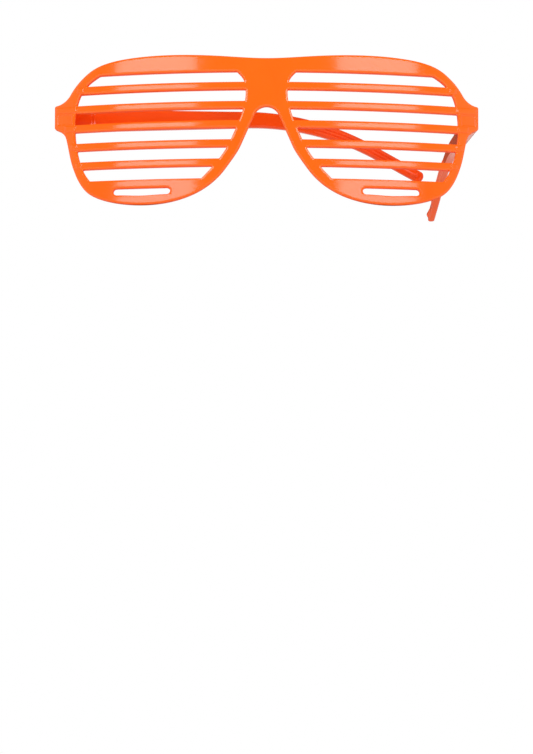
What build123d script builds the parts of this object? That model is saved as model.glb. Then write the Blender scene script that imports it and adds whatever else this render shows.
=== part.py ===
from build123d import *
import os
from math import cos, radians, sin, sqrt

# Slatted novelty glasses, in millimetres.
# The origin is the saddle of the nose arch, half way through the bridge.
# +Z is up, the front faces -Y, and +X is the wearer's left.

# Front frame
overall_width = 148.0
brow_height = 18.08
rim_drop = 33.28
face_radius = 190.0
plate_thickness = 3.0
edge_round = 0.5
overrun = 1.0

# Nose arch and moulded nose pads
nose_radius = 4.6
nose_slope_deg = 24.0
nose_flank = 11.4
pad_width = 2.0
pad_length = 10.0
pad_depth = 4.0
pad_flare = 1.4
pad_edge = 0.4
pad_round = 0.5

# Slats and lens windows
slat_count = 5
slat_height = 2.5
slat_pitch = 6.58
first_slat_top = 8.36
top_gap = 3.78
bottom_gap = 4.24
window_corner = 0.35
brow_corner = 2.0

# Curved slot in the crescent under each lens
slot_top_drop = 2.72
slot_depth = 2.82
slot_length = 20.0
slot_middle_share = 0.581
slot_end_share = 0.44

# End pieces
end_top = 2.2
end_bottom = -5.6
end_corner = 0.7
panel_depth = 0.25
panel_rim = 0.95
panel_margin = 0.6

# Hinges
hinge_z = -1.75
hinge_height = 8.0
pin_radius = 0.7
pin_clearance = 0.05
pin_inset = 4.8
lug_radius = 2.0
lug_seat = 0.8
lug_clearance = 0.02
tongue_height = 3.2
tongue_length = 2.0
hinge_gap = 0.1
stop_gap = 0.1
pin_end_chamfer = 0.15

# Temples
temple_root = 0.6
root_seat = 0.265
temple_thickness = 3.3
tip_thickness = 2.6
root_thickness = 2.7
relief_length = 7.9
straight_length = 63.0
straight_end_top = 1.85
straight_end_bottom = -3.8
bend_radius = 90.0
bend_deg = 29.8
hook_height = 4.0
tail_length = 17.3
bow_start = 45.0
tip_bow = 5.0
temple_round = 0.7

# Grip grooves on the inner face of each hook
groove_count = 3
groove_pitch = 1.15
groove_width = 0.45
groove_depth = 0.3
groove_tail = 5.0
groove_shares = (0.5, 0.75, 1)
mid_bend_share = 0.5

# At rest the left temple stands open, square to the front, and the right one is folded
# in to this angle from the plane of the front
right_rest_deg = 2.0
open_deg = 90.0

# Sizes that follow
half_width = overall_width / 2
face_centre_y = face_radius - plate_thickness / 2
back_radius = face_radius - plate_thickness
window_top = first_slat_top + top_gap
window_bottom = first_slat_top - (slat_count - 1) * slat_pitch - slat_height - bottom_gap
window_height = window_top - window_bottom
pin_x = half_width - pin_inset
end_back_y = face_centre_y - sqrt(back_radius**2 - half_width**2)
root_y = end_back_y - root_seat
pin_y = root_y + temple_root
lug_face_y = face_centre_y - sqrt(back_radius**2 - (pin_x - lug_radius) ** 2)
lug_web = pin_y - lug_face_y + lug_seat
frame_depth = end_back_y + plate_thickness + 2 * overrun
nose_slope = radians(nose_slope_deg)
hinge_top = hinge_z + hinge_height / 2
hinge_bottom = hinge_z - hinge_height / 2
tongue_bottom = hinge_z - tongue_height / 2
lug_height = (hinge_height - tongue_height) / 2 - hinge_gap
lug_bottoms = (hinge_bottom, hinge_top - lug_height)
root_inner_x = half_width - root_thickness
sides = (-1, 1)

# Outline of one half, as shares of the half width and of the height above or below the saddle
brow_shares = (
    (0, 0.9154), (0.216, 0.9635), (0.4426, 1), (0.6318, 0.968), (0.727, 0.9115), (0.7757, 0.8556),
    (0.8243, 0.7572), (0.8605, 0.6394), (0.8872, 0.5304), (0.9086, 0.4198), (0.923, 0.329),
)
upper_shoulder_shares = ((0.947, 0.212), (0.981, 0.138))
lower_shoulder_shares = ((0.986, -0.185), (0.958, -0.2245), (0.9432, -0.2855))
rim_shares = (
    (0.9432, -0.2855), (0.9189, -0.5282), (0.8991, -0.6569), (0.8442, -0.8465), (0.7757, -0.9294),
    (0.6797, -0.9814), (0.5743, -1), (0.4892, -0.9877), (0.3959, -0.9414), (0.3027, -0.851),
    (0.2095, -0.6791), (0.1699, -0.5679),
)

# Sides of a lens window, as shares of the half width and of the window's height
temple_side_shares = (
    (0.827, 0), (0.8562, 0.0847), (0.8788, 0.2014), (0.8953, 0.3583), (0.9014, 0.5347),
    (0.8919, 0.7112), (0.8722, 0.83), (0.827, 0.9387), (0.7804, 1),
)
nose_side_shares = (
    (0.1365, 1), (0.1065, 0.9292), (0.0972, 0.84), (0.0985, 0.745), (0.1176, 0.5934),
    (0.1442, 0.4596), (0.1915, 0.2579), (0.2554, 0.0915), (0.3, 0),
)


def on_outline(share):
    """A point of the outline from its shares."""
    height = brow_height if share[1] > 0 else rim_drop
    return (share[0] * half_width, share[1] * height)


def on_window(share):
    """A point of a lens window from its shares."""
    return (share[0] * half_width, window_bottom + share[1] * window_height)


def front_face_of(frame):
    """The curved front face, the nearer of the two large ones."""
    curved = frame.faces().filter_by(GeomType.CYLINDER).sort_by(SortBy.AREA)
    return curved[-2:].sort_by(Axis.Y)[0]


# Nose arch: a round top that runs into two straight flanks
arch_end = (nose_radius * cos(nose_slope), nose_radius * (sin(nose_slope) - 1))
flank_end = (
    arch_end[0] + nose_flank * sin(nose_slope),
    arch_end[1] - nose_flank * cos(nose_slope),
)
flank_direction = (sin(nose_slope), -cos(nose_slope))
arch_half = radians(open_deg / 2)
arch_mid = (nose_radius * sin(arch_half), nose_radius * (cos(arch_half) - 1))

# The thin skin taken off the front face to sink a panel between two bands of each end piece
face_skin = Cylinder(face_radius + overrun, overall_width)
face_skin -= Cylinder(face_radius - panel_depth, overall_width)
panel_top = first_slat_top - slat_pitch - slat_height
panel_bottom = first_slat_top - 2 * slat_pitch
panel_inner = temple_side_shares[4][0] * half_width + panel_rim
panel_outer = half_width - panel_margin
panel_middle = (panel_outer + panel_inner) / 2
panel_block = Box(panel_outer - panel_inner, 2 * frame_depth, panel_top - panel_bottom)
panel_cuts = [
    Pos(side * panel_middle, 0, (panel_top + panel_bottom) / 2) * panel_block
    & Pos(0, face_centre_y, 0) * face_skin
    for side in sides
]

# The front frame is one moulding: a slatted plate, bent round the face
with BuildPart() as front_frame:
    with BuildSketch(Plane.XZ.offset(plate_thickness / 2 + overrun)) as outline:
        with BuildLine():
            upper_shoulder = ThreePointArc(
                on_outline(brow_shares[-1]),
                on_outline(upper_shoulder_shares[0]),
                on_outline(upper_shoulder_shares[1]),
            )
            Spline([on_outline(p) for p in brow_shares], tangents=((1, 0), upper_shoulder % 0))
            Polyline(
                on_outline(upper_shoulder_shares[1]),
                (half_width, end_top),
                (half_width, end_bottom),
                on_outline(lower_shoulder_shares[0]),
            )
            lower_shoulder = ThreePointArc(*[on_outline(p) for p in lower_shoulder_shares])
            Spline(
                [on_outline(p) for p in rim_shares] + [flank_end],
                tangents=(lower_shoulder % 1, (-flank_direction[0], -flank_direction[1])),
            )
            Line(flank_end, arch_end)
            ThreePointArc(arch_end, arch_mid, (0, 0))
            mirror(about=Plane.YZ)
        make_face()
        end_points = outline.vertices().group_by(Axis.X)
        fillet(end_points[0] + end_points[-1], radius=end_corner)
    extrude(amount=-frame_depth)

    with BuildSketch(Plane.XZ.offset(plate_thickness / 2 + overrun)) as windows:
        with BuildLine():
            side_curve = Spline([on_window(p) for p in temple_side_shares])
            Line(side_curve @ 1, on_window(nose_side_shares[0]))
            nose_curve = Spline([on_window(p) for p in nose_side_shares])
            Line(nose_curve @ 1, side_curve @ 0)
        make_face()
        for n in range(slat_count):
            with Locations((half_width / 2, first_slat_top - n * slat_pitch - slat_height / 2)):
                Rectangle(overall_width, slat_height, mode=Mode.SUBTRACT)
        brow_end = windows.vertices().group_by(Axis.Y)[-1].sort_by(Axis.X)[-1]
        fillet([corner for corner in windows.vertices() if corner != brow_end], radius=window_corner)
        brow_end = windows.vertices().group_by(Axis.Y)[-1].sort_by(Axis.X)[-1]
        fillet(brow_end, radius=brow_corner)
        mirror(about=Plane.YZ)
    extrude(amount=-frame_depth, mode=Mode.SUBTRACT)

    slot_top = window_bottom - slot_top_drop
    slot_bottom = slot_top - slot_depth
    slot_middle = slot_middle_share * half_width
    slot_inner = slot_middle - slot_length / 2
    slot_outer = slot_middle + slot_length / 2
    end_radius = slot_end_share * slot_depth
    with BuildSketch(Plane.XZ.offset(plate_thickness / 2 + overrun)) as slots:
        with BuildLine():
            Line((slot_inner + end_radius, slot_top), (slot_outer - end_radius, slot_top))
            ThreePointArc(
                (slot_outer - end_radius, slot_top),
                (slot_outer, slot_top - end_radius),
                (slot_outer - end_radius, slot_top - 2 * end_radius),
            )
            Spline(
                (slot_outer - end_radius, slot_top - 2 * end_radius),
                (slot_middle, slot_bottom),
                (slot_inner + end_radius, slot_top - 2 * end_radius),
                tangents=((-1, 0), (-1, 0)),
            )
            ThreePointArc(
                (slot_inner + end_radius, slot_top - 2 * end_radius),
                (slot_inner, slot_top - end_radius),
                (slot_inner + end_radius, slot_top),
            )
        make_face()
        mirror(about=Plane.YZ)
    extrude(amount=-frame_depth, mode=Mode.SUBTRACT)

    with Locations((0, face_centre_y, 0)):
        Cylinder(face_radius, 2 * overall_width, mode=Mode.INTERSECT)
        Cylinder(back_radius, 2 * overall_width, mode=Mode.SUBTRACT)

    # Every edge of the right half's front is rounded, one opening at a time and the outline
    # last, and the left half is its mirror image
    front_face = front_face_of(front_frame)
    openings = [wire for wire in front_face.inner_wires() if wire.center().X < 0]
    for middle in [wire.bounding_box().center() for wire in openings]:
        openings = front_face_of(front_frame).inner_wires()
        nearest = min(openings, key=lambda wire: (wire.bounding_box().center() - middle).length)
        fillet(nearest.edges(), radius=edge_round)
    fillet(front_face_of(front_frame).outer_wire().edges(), radius=edge_round)
    split(bisect_by=Plane.YZ, keep=Keep.BOTTOM)
    mirror(about=Plane.YZ)

    for cut in panel_cuts:
        add(cut, mode=Mode.SUBTRACT)

    # Nose pads: fins behind the two flanks of the nose arch, flaring away from the nose
    pad_out = (cos(nose_slope), sin(nose_slope))
    pad_centre = (
        (arch_end[0] + flank_end[0]) / 2 + (pad_edge + pad_width / 2) * pad_out[0],
        (arch_end[1] + flank_end[1]) / 2 + (pad_edge + pad_width / 2) * pad_out[1],
    )
    for side in sides:
        with BuildSketch(Plane.XZ):
            with Locations((side * pad_centre[0], pad_centre[1])):
                SlotOverall(pad_length, pad_width, rotation=side * (nose_slope_deg - open_deg))
        pad_reach = pad_depth + plate_thickness / 2
        pad_path = Vector(side * pad_flare * pad_out[0], pad_reach, pad_flare * pad_out[1])
        extrude(amount=pad_path.length, dir=pad_path.normalized())
    pad_ends = front_frame.faces().filter_by(Plane.XZ).sort_by(Axis.Y)[-2:]
    fillet(pad_ends.edges(), radius=pad_round)

    # Hinge lugs behind the end pieces, above and below the tongue of the temple
    for side in sides:
        for lug_bottom in lug_bottoms:
            with BuildSketch(Plane.XY.offset(lug_bottom)):
                with Locations((side * pin_x, pin_y)):
                    Circle(lug_radius)
                with Locations((side * pin_x, pin_y - lug_web / 2)):
                    Rectangle(2 * lug_radius, lug_web)
            extrude(amount=lug_height)

    # Flat stops for the temples, and the bores for the pins
    with BuildSketch(Plane.XY.offset(hinge_bottom - hinge_height)):
        for side in sides:
            with Locations((side * (half_width + root_inner_x) / 2, root_y - stop_gap + lug_web / 2)):
                Rectangle(root_thickness + 2 * stop_gap, lug_web)
    extrude(amount=3 * hinge_height, mode=Mode.SUBTRACT)
    with BuildSketch(Plane.XY.offset(hinge_bottom)):
        for side in sides:
            with Locations((side * pin_x, pin_y)):
                Circle(pin_radius + lug_clearance)
    extrude(amount=hinge_height, mode=Mode.SUBTRACT)

# Temple, seen from the side: y along the arm and z up. Its lower and upper edges run
# straight from the hinge, bend down together round the ear and end in a round tip.
bend_start = pin_y + straight_length
middle_z = (straight_end_top + straight_end_bottom) / 2
straight_end_height = straight_end_top - straight_end_bottom


def off_centreline(share, offset):
    """A point beside the centreline, part of the way round the bend."""
    angle = radians(share * bend_deg)
    return (
        bend_start + (bend_radius + offset) * sin(angle),
        middle_z - bend_radius + (bend_radius + offset) * cos(angle),
    )


def on_tail(distance, offset):
    """A point beside the straight tail of the hook, a distance past the bend."""
    angle = radians(bend_deg)
    start = off_centreline(1, offset)
    return (start[0] + distance * cos(angle), start[1] - distance * sin(angle))


tail_direction = (cos(radians(bend_deg)), -sin(radians(bend_deg)))
half_start = straight_end_height / 2
half_hook = hook_height / 2
half_mid = (half_start + half_hook) / 2
tip_y = on_tail(tail_length + half_hook, 0)[0]
bow_y = pin_y + bow_start
bow_middle_y = (bow_y + tip_y) / 2
top_slope = (straight_length + temple_root, straight_end_top - hinge_top)
bottom_slope = (straight_length + temple_root, straight_end_bottom - hinge_bottom)

# The grooves: bands beside the centreline, as deep as a skin over the inner face
with BuildSketch(Plane.YZ) as groove_bands:
    for n in range(groove_count):
        middle = (n - (groove_count - 1) / 2) * groove_pitch
        low = middle - groove_width / 2
        high = middle + groove_width / 2
        groove_stop = tail_length - groove_tail
        with BuildLine():
            ThreePointArc(*[off_centreline(share, low) for share in groove_shares])
            Line(off_centreline(1, low), on_tail(groove_stop, low))
            Line(on_tail(groove_stop, low), on_tail(groove_stop, high))
            Line(on_tail(groove_stop, high), off_centreline(1, high))
            ThreePointArc(*[off_centreline(share, high) for share in groove_shares])
            Line(off_centreline(groove_shares[0], low), off_centreline(groove_shares[0], high))
        make_face()

with BuildSketch(Plane.XY) as groove_skin:
    with BuildLine():
        skin_inner = Bezier(
            (half_width - temple_thickness - overrun, bow_y),
            (half_width - temple_thickness - overrun, bow_middle_y),
            (half_width - tip_bow - tip_thickness - overrun, tip_y),
        )
        skin_outer = Bezier(
            (half_width - temple_thickness + groove_depth, bow_y),
            (half_width - temple_thickness + groove_depth, bow_middle_y),
            (half_width - tip_bow - tip_thickness + groove_depth, tip_y),
        )
        Line(skin_inner @ 0, skin_outer @ 0)
        Line(skin_inner @ 1, skin_outer @ 1)
    make_face()

groove_tool = extrude(groove_bands.sketch, amount=overall_width)
groove_tool &= extrude(groove_skin.sketch, amount=rim_drop, both=True)

with BuildPart() as left_temple:
    with BuildSketch(Plane.YZ.offset(half_width / 2)):
        with BuildLine():
            Line((root_y, hinge_top), (bend_start, straight_end_top))
            Spline(
                (bend_start, straight_end_top),
                off_centreline(mid_bend_share, half_mid),
                off_centreline(1, half_hook),
                tangents=(top_slope, tail_direction),
            )
            Line(off_centreline(1, half_hook), on_tail(tail_length, half_hook))
            ThreePointArc(
                on_tail(tail_length, half_hook),
                on_tail(tail_length + half_hook, 0),
                on_tail(tail_length, -half_hook),
            )
            Line(on_tail(tail_length, -half_hook), off_centreline(1, -half_hook))
            Spline(
                off_centreline(1, -half_hook),
                off_centreline(mid_bend_share, -half_mid),
                (bend_start, straight_end_bottom),
                tangents=(
                    (-tail_direction[0], -tail_direction[1]),
                    (-bottom_slope[0], -bottom_slope[1]),
                ),
            )
            Line((bend_start, straight_end_bottom), (root_y, hinge_bottom))
            Line((root_y, hinge_bottom), (root_y, hinge_top))
        make_face()
    extrude(amount=half_width)

    step = temple_thickness - root_thickness
    inner_x = half_width - temple_thickness
    with BuildSketch(Plane.XY.offset(-rim_drop)):
        with BuildLine():
            Polyline(
                (half_width, bow_y),
                (half_width, root_y),
                (root_inner_x, root_y),
                (root_inner_x, pin_y + relief_length),
                (inner_x, pin_y + relief_length + step),
                (inner_x, bow_y),
            )
            inner_curve = Bezier(
                (inner_x, bow_y),
                (inner_x, bow_middle_y),
                (half_width - tip_bow - tip_thickness, tip_y),
            )
            outer_curve = Bezier(
                (half_width, bow_y),
                (half_width, bow_middle_y),
                (half_width - tip_bow, tip_y),
            )
            Line(inner_curve @ 1, outer_curve @ 1)
        make_face()
    extrude(amount=2 * rim_drop, mode=Mode.INTERSECT)
    long_edges = left_temple.edges().filter_by(lambda edge: edge.center().Y > pin_y + bow_start / 2)
    fillet(long_edges, radius=temple_round)
    add(groove_tool, mode=Mode.SUBTRACT)

    # The tongue that turns on the pin between the lugs
    with BuildSketch(Plane.XY.offset(tongue_bottom)):
        with Locations((pin_x, pin_y)):
            Circle(lug_radius)
        tongue_width = root_inner_x - pin_x + stop_gap
        with Locations((pin_x + tongue_width / 2, root_y + (temple_root + tongue_length) / 2)):
            Rectangle(tongue_width, temple_root + tongue_length)
        with Locations((pin_x, pin_y)):
            Circle(pin_radius + pin_clearance, mode=Mode.SUBTRACT)
    extrude(amount=tongue_height)

# The right temple is the mirror image of the left one, folded in about its own pin
right_hinge_axis = Axis((-pin_x, pin_y, 0), (0, 0, 1))
folded_copy = left_temple.part.mirror(Plane.YZ).rotate(right_hinge_axis, right_rest_deg - open_deg)

with BuildPart() as right_temple:
    add(folded_copy)

with BuildPart() as right_hinge_pin:
    with BuildSketch(Plane.XY.offset(hinge_bottom)):
        with Locations((-pin_x, pin_y)):
            Circle(pin_radius)
    extrude(amount=hinge_height)
    chamfer(right_hinge_pin.edges().filter_by(GeomType.CIRCLE), length=pin_end_chamfer)

with BuildPart() as left_hinge_pin:
    with BuildSketch(Plane.XY.offset(hinge_bottom)):
        with Locations((pin_x, pin_y)):
            Circle(pin_radius)
    extrude(amount=hinge_height)
    chamfer(left_hinge_pin.edges().filter_by(GeomType.CIRCLE), length=pin_end_chamfer)

front_frame.part.label = "front_frame"
left_temple.part.label = "left_temple"
right_temple.part.label = "right_temple"
left_hinge_pin.part.label = "left_hinge_pin"
right_hinge_pin.part.label = "right_hinge_pin"

os.makedirs("parts", exist_ok=True)
export_step(front_frame.part, "parts/front_frame.step")
export_step(left_temple.part, "parts/left_temple.step")
export_step(right_temple.part, "parts/right_temple.step")
export_step(left_hinge_pin.part, "parts/left_hinge_pin.step")
export_step(right_hinge_pin.part, "parts/right_hinge_pin.step")
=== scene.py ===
"""Looks of the slatted novelty glasses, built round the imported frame.

The front is a rounded slab with windows, bent onto the same cylinder as the solid, and the
temples are lofted along the line of each arm. What runs along a path, the slat bands, the grip
ribs and the finger pads, is made by Geometry Nodes. Sizes are in millimetres and become metres
where a mesh is written or a node group takes them.
"""

import logging
import math
from collections.abc import Callable, Sequence
from dataclasses import dataclass, field, replace
from enum import Enum
from functools import partial

import bmesh
import bpy
import numpy as np
from mathutils import Matrix, Vector
from mathutils.geometry import delaunay_2d_cdt


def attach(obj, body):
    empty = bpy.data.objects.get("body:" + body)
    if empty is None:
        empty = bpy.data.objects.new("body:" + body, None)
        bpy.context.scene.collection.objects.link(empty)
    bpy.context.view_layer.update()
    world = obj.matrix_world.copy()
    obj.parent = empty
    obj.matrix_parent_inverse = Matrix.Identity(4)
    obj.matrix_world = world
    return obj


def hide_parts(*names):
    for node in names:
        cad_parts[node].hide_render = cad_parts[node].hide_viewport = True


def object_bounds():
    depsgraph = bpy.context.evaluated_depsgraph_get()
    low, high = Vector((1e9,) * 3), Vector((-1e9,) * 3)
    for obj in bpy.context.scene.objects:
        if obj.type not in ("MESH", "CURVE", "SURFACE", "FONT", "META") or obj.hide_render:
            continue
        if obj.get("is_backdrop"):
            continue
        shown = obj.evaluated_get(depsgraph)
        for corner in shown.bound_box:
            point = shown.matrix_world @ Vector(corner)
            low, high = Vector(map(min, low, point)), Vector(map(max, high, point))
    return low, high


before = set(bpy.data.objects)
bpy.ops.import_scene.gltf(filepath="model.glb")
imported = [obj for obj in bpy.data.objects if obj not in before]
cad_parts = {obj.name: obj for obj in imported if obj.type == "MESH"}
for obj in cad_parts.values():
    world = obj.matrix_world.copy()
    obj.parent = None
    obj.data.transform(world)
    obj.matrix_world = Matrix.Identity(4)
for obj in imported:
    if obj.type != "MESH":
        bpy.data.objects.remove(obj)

log = logging.getLogger("glasses")

MM = 0.001
WALL_MASK = "satin_wall"

# A corner whose normal tilts further than this from the front is on a wall or on the back.
WALL_TILT = math.radians(80)
# Runs that meet at a smaller turn than this are joined without a rounded corner.
CORNER_TURN = math.radians(8)
# Half the distance over which a placement's slopes are taken.
NUDGE = 0.01
# Size of the triangles on the small pieces.
FINE_GRID = 0.8
# Corners nearer to each other than this become one when an area is filled.
MERGE_DISTANCE = 1e-7
# A smooth step is this much steeper at its middle than over its whole width.
STEP_STEEPNESS = 1.5

Array = np.ndarray
Placement = Callable[[Array], Array]
Shares = Sequence[tuple[float, float]]


class Side(Enum):
    """The wearer's side on which a piece sits, with its sign along X."""

    RIGHT = -1
    LEFT = 1

    @property
    def word(self) -> str:
        """The side's name as the frame's nodes and bodies spell it."""
        return self.name.lower()


@dataclass(frozen=True)
class PlasticFinish:
    """A moulded plastic: its two tones, its gloss and the ripple of its surface."""

    name: str
    colour: tuple[float, float, float]
    deep_colour: tuple[float, float, float]
    roughness: float
    roughness_spread: float
    ripple_size: float
    ripple_height: float
    specular: float = 0.5
    ior: float = 1.49


@dataclass(frozen=True)
class SteelFinish:
    """Plain drawn wire: its colour and the streaks along it."""

    name: str
    colour: tuple[float, float, float]
    roughness: float
    roughness_spread: float
    streak_scale: float
    streak_stretch: float = 0.04


FRONT_PLASTIC = PlasticFinish(
    name="front_plastic",
    colour=(1.0, 0.138, 0.0055),
    deep_colour=(1.0, 0.128, 0.0047),
    roughness=0.1,
    roughness_spread=0.03,
    ripple_size=11.0,
    ripple_height=0.003,
)
FRONT_SATIN = replace(
    FRONT_PLASTIC, name="front_satin", roughness=0.55, roughness_spread=0.05, specular=0.12
)
# The temple colours are the front's plastic with painted shade: darker and deeper in hue, as the
# arms look in the shade behind the front. The satin and grip finishes made from them carry the same
# painted shade.
TEMPLE_SHADED_PLASTIC = PlasticFinish(
    name="temple_shaded_plastic",
    colour=(0.99, 0.113, 0.0072),
    deep_colour=(0.96, 0.101, 0.006),
    roughness=0.14,
    roughness_spread=0.05,
    ripple_size=12.0,
    ripple_height=0.006,
)
TEMPLE_SHADED_SATIN = replace(TEMPLE_SHADED_PLASTIC, name="temple_shaded_satin", roughness=0.4, specular=0.12)
GRIP_SHADED_PLASTIC = replace(TEMPLE_SHADED_PLASTIC, name="grip_shaded_plastic", roughness=0.32)
PIN_STEEL = SteelFinish(
    name="pin_steel",
    colour=(0.72, 0.72, 0.7),
    roughness=0.28,
    roughness_spread=0.12,
    streak_scale=2600.0,
)


def line(*points: Sequence[float]) -> Array:
    """Returns a line through points, one row each."""
    return np.array(points, float)


def both_sides(loops: list[Array]) -> list[Array]:
    """Returns loops and then their mirror images across the middle of the face."""
    return loops + [loop * (-1, 1) for loop in loops]


def lengths(points: Array) -> Array:
    """Returns how far along a line each of its points lies."""
    return np.concatenate([[0], np.cumsum(np.linalg.norm(np.diff(points, axis=0), axis=1))])


def points_at(points: Array, where: Sequence[float]) -> Array:
    """Returns the points of a line at given distances along it."""
    run = lengths(points)
    return np.stack([np.interp(where, run, points[:, axis]) for axis in (0, 1)], axis=1)


def evenly(points: Array, step: float) -> Array:
    """Returns the same line with its points evenly spaced, its ends kept."""
    whole = lengths(points)[-1]
    return points_at(points, np.linspace(0, whole, max(2, int(round(whole / step)) + 1)))


def smooth_path(
    points: Sequence[Sequence[float]],
    start: Sequence[float] | None = None,
    end: Sequence[float] | None = None,
    step: float = 0.6,
) -> Array:
    """Runs a cubic spline through points, the parameter being the length of the chords.

    Args:
        points: The points in order.
        start: Direction at the first point, or None for a free end.
        end: Direction at the last point, or None for a free end.
        step: Distance between the points returned.

    Returns:
        The points of the spline, one row each.
    """
    pts = np.array(points, float)
    knots = lengths(pts)
    gaps = np.diff(knots)
    count = len(pts)
    system = np.zeros((count, count))
    right = np.zeros((count, 2))
    slopes = np.diff(pts, axis=0) / gaps[:, None]
    for i in range(1, count - 1):
        system[i, i - 1 : i + 2] = gaps[i], 2 * (gaps[i - 1] + gaps[i]), gaps[i - 1]
        right[i] = 3 * (gaps[i] * slopes[i - 1] + gaps[i - 1] * slopes[i])
    for row, near, direction, slope in ((0, 1, start, slopes[0]), (-1, -2, end, slopes[-1])):
        free = direction is None
        system[row, row] = 2 if free else 1
        system[row, near] = 1 if free else 0
        right[row] = 3 * slope if free else np.array(direction) / np.hypot(*direction)
    tangents = np.linalg.solve(system, right)
    where = np.linspace(0, knots[-1], max(2, int(knots[-1] / step) + 1))
    index = np.clip(np.searchsorted(knots, where, side="right") - 1, 0, count - 2)
    gap = gaps[index][:, None]
    t = (where - knots[index])[:, None] / gap
    return (
        (2 * t**3 - 3 * t**2 + 1) * pts[index]
        + (t**3 - 2 * t**2 + t) * gap * tangents[index]
        + (3 * t**2 - 2 * t**3) * pts[index + 1]
        + (t**3 - t**2) * gap * tangents[index + 1]
    )


def arc_path(
    a: Sequence[float], b: Sequence[float], c: Sequence[float], step: float = 0.4
) -> Array:
    """Draws the arc through three points.

    Args:
        a: Where the arc starts.
        b: A point that it passes.
        c: Where the arc ends.
        step: Distance between the points returned.

    Returns:
        The points of the arc, one row each.
    """
    (ax, ay), (bx, by), (cx, cy) = a, b, c
    aa, bb, cc = ax**2 + ay**2, bx**2 + by**2, cx**2 + cy**2
    d = 2 * (ax * (by - cy) + bx * (cy - ay) + cx * (ay - by))
    ux = (aa * (by - cy) + bb * (cy - ay) + cc * (ay - by)) / d
    uy = (aa * (cx - bx) + bb * (ax - cx) + cc * (bx - ax)) / d
    radius = math.hypot(ax - ux, ay - uy)
    angles = [math.atan2(y - uy, x - ux) for x, y in (a, b, c)]
    sweep = (angles[2] - angles[0]) % math.tau
    if (angles[1] - angles[0]) % math.tau > sweep:
        sweep -= math.tau
    turn = angles[0] + np.linspace(0, sweep, max(3, int(abs(sweep) * radius / step) + 1))
    return np.stack([ux + radius * np.cos(turn), uy + radius * np.sin(turn)], axis=1)


def trim(before: Array, after: Array, radius: float) -> float:
    """Finds how much of two runs the rounded corner between them takes away.

    Args:
        before: The run that ends at the corner.
        after: The run that starts there.
        radius: The corner's radius.

    Returns:
        The length cut from each run, 0 where they meet with hardly a turn.
    """
    (x0, y0), (x1, y1) = before[-1] - before[-2], after[1] - after[0]
    turn = math.atan2(abs(x0 * y1 - y0 * x1), x0 * x1 + y0 * y1)
    return radius * math.tan(turn / 2) if turn > CORNER_TURN else 0


def closed_loop(
    runs: Sequence[Array], radius: float | Sequence[float], step: float = 0.9, corner_steps: int = 5
) -> Array:
    """Joins runs of points into one closed loop and rounds each corner between them.

    Args:
        runs: Lines of points, each starting where the last one ends.
        radius: Radius of the corners, or one for the end of each run.
        step: Distance between the points along the runs.
        corner_steps: Spans in each rounded corner.

    Returns:
        The loop's points, the first not repeated at the end.
    """
    radii = [radius] * len(runs) if isinstance(radius, float) else list(radius)
    pieces = []
    for k, run in enumerate(runs):
        length = lengths(run)
        start = trim(runs[k - 1], run, radii[k - 1])
        cut = trim(run, runs[(k + 1) % len(runs)], radii[k])
        end = length[-1] - cut
        kept = points_at(run, [start, *length[(length > start) & (length < end)], end])
        pieces.append((evenly(kept, step), run[-1], cut))
    loop = []
    for k, (kept, corner, cut) in enumerate(pieces):
        follower = pieces[(k + 1) % len(pieces)][0][0]
        loop.extend(kept if cut else kept[:-1])
        if cut:
            for t in np.linspace(0, 1, corner_steps + 1)[1:-1]:
                loop.append((1 - t) ** 2 * kept[-1] + 2 * t * (1 - t) * corner + t**2 * follower)
    return np.array(loop)


def outward(loop: Array) -> Array:
    """Finds the unit normals of a closed loop.

    Args:
        loop: The loop's points, in either sense.

    Returns:
        The normal at each point, pointing out of the loop.
    """
    tangent = np.roll(loop, -1, axis=0) - np.roll(loop, 1, axis=0)
    tangent /= np.linalg.norm(tangent, axis=1)[:, None]
    x, y = loop[:, 0], loop[:, 1]
    area = np.sum(x * np.roll(y, -1) - np.roll(x, -1) * y)
    return np.stack([tangent[:, 1], -tangent[:, 0]], axis=1) * np.sign(area)


def inside(points: Array, loops: Sequence[Array]) -> Array:
    """Tells which points lie in the area between closed loops.

    Args:
        points: The points, one row each.
        loops: The loops.

    Returns:
        For each point, whether it lies inside an odd number of the loops.
    """
    odd = np.zeros(len(points), bool)
    for loop in loops:
        (x0, y0), (x1, y1) = loop.T, np.roll(loop, -1, axis=0).T
        for a, b, c, d in zip(x0, y0, x1, y1):
            if b != d:
                crosses = (points[:, 1] < b) != (points[:, 1] < d)
                odd ^= crosses & (points[:, 0] < (c - a) * (points[:, 1] - b) / (d - b) + a)
    return odd


def linked(name: str, data: bpy.types.ID) -> bpy.types.Object:
    """Makes an object of some data and links it to the scene.

    Args:
        name: The object's name.
        data: A mesh, a camera or a light.

    Returns:
        The new object.
    """
    made = bpy.data.objects.new(name, data)
    bpy.context.scene.collection.objects.link(made)
    return made


def mesh_object(
    name: str,
    points: Array,
    faces: Sequence[Sequence[int]],
    normals: Array | None = None,
    walls: Array | None = None,
) -> bpy.types.Object:
    """Makes an object of points in millimetres, its faces turned outward.

    Args:
        name: The object's name.
        points: Corners, one row each.
        faces: Corner numbers of each face, in either sense.
        normals: Normal to shade each corner with, or None to leave that to the faces.
        walls: 1 at each corner where the mould left a satin surface, 0 elsewhere.

    Returns:
        The new object, linked to the scene.
    """
    mesh = bpy.data.meshes.new(name)
    mesh.from_pydata((points * MM).tolist(), [], faces)
    work = bmesh.new()
    work.from_mesh(mesh)
    bmesh.ops.recalc_face_normals(work, faces=work.faces)
    work.to_mesh(mesh)
    work.free()
    mesh.shade_smooth()
    if normals is not None:
        mesh.normals_split_custom_set_from_vertices(normals.tolist())
    if walls is not None:
        mask = mesh.attributes.new(WALL_MASK, "FLOAT", "POINT")
        mask.data.foreach_set("value", walls.astype(np.float32))
    return linked(name, mesh)


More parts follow.
